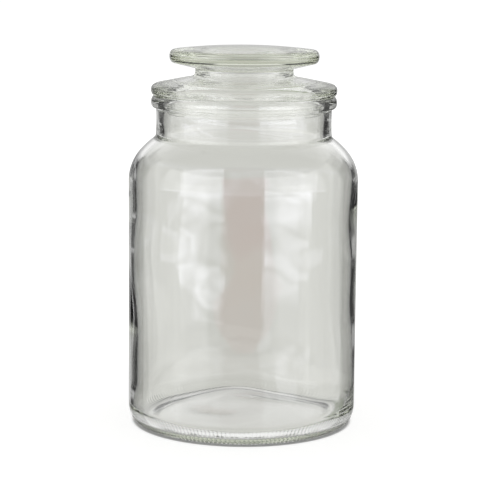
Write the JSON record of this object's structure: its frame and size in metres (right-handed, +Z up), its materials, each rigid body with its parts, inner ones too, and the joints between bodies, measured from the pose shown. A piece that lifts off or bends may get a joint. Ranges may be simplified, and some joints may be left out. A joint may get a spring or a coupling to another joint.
{
  "type": "glass storage jar",
  "caption": "Round clear glass storage jar with a short neck, a rim bead and a loose one-piece glass lid that has a disc knob on a wide hollow stem and a plug that sits in the mouth.",
  "frame": {"origin": "middle of the ring that the jar stands on, on the surface it rests on", "axes": "+Z is up along the axis of jar and lid; -Y is the front; both pieces are round, so X and Y are alike"},
  "size_m": [0.125, 0.125, 0.2065],
  "materials": {
    "jar_glass": "clear pressed glass with a faint grey-green tint and a slightly wavy inside",
    "lid_glass": "clear pressed glass with a faint grey-green tint, thick and fire-polished"
  },
  "bodies": {
    "root": {"jar": "jar_glass", "lid": "lid_glass"}
  },
  "joints": []
}
